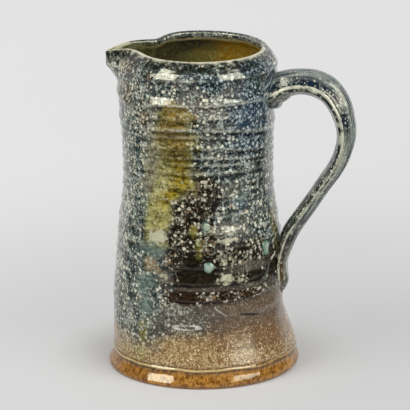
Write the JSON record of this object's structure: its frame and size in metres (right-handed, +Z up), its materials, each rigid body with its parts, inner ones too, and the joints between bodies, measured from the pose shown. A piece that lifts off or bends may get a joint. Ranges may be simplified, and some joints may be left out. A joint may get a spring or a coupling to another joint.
{
  "type": "salt-glazed jug",
  "caption": "Tall thrown stoneware jug with a flared foot, ringed wall, thick rolled rim, pulled lip and pulled strap handle.",
  "frame": {"origin": "middle of the flat underside of the foot, on the throwing axis at the table", "axes": "+Z up along the throwing axis, +X from the axis to the middle of the handle, so the lip points along about -X"},
  "size_m": [0.158, 0.12, 0.205],
  "materials": {
    "wall_glaze": "glossy orange-peel salt glaze, slate blue above, amber run, toasted tan at the foot",
    "liner_glass": "glossy olive to amber liner glaze",
    "handle_glaze": "glossy streaked slate and cream salt glaze",
    "join_glaze": "glossy dark mottled salt glaze",
    "drip_glass": "glossy pale turquoise glass"
  },
  "bodies": {
    "root": {"thrown_body": "wall_glaze", "liner_glaze": "liner_glass", "handle": "handle_glaze", "upper_join_coil": "join_glaze", "lower_join_pad": "join_glaze", "glaze_drips": "drip_glass"}
  },
  "joints": []
}
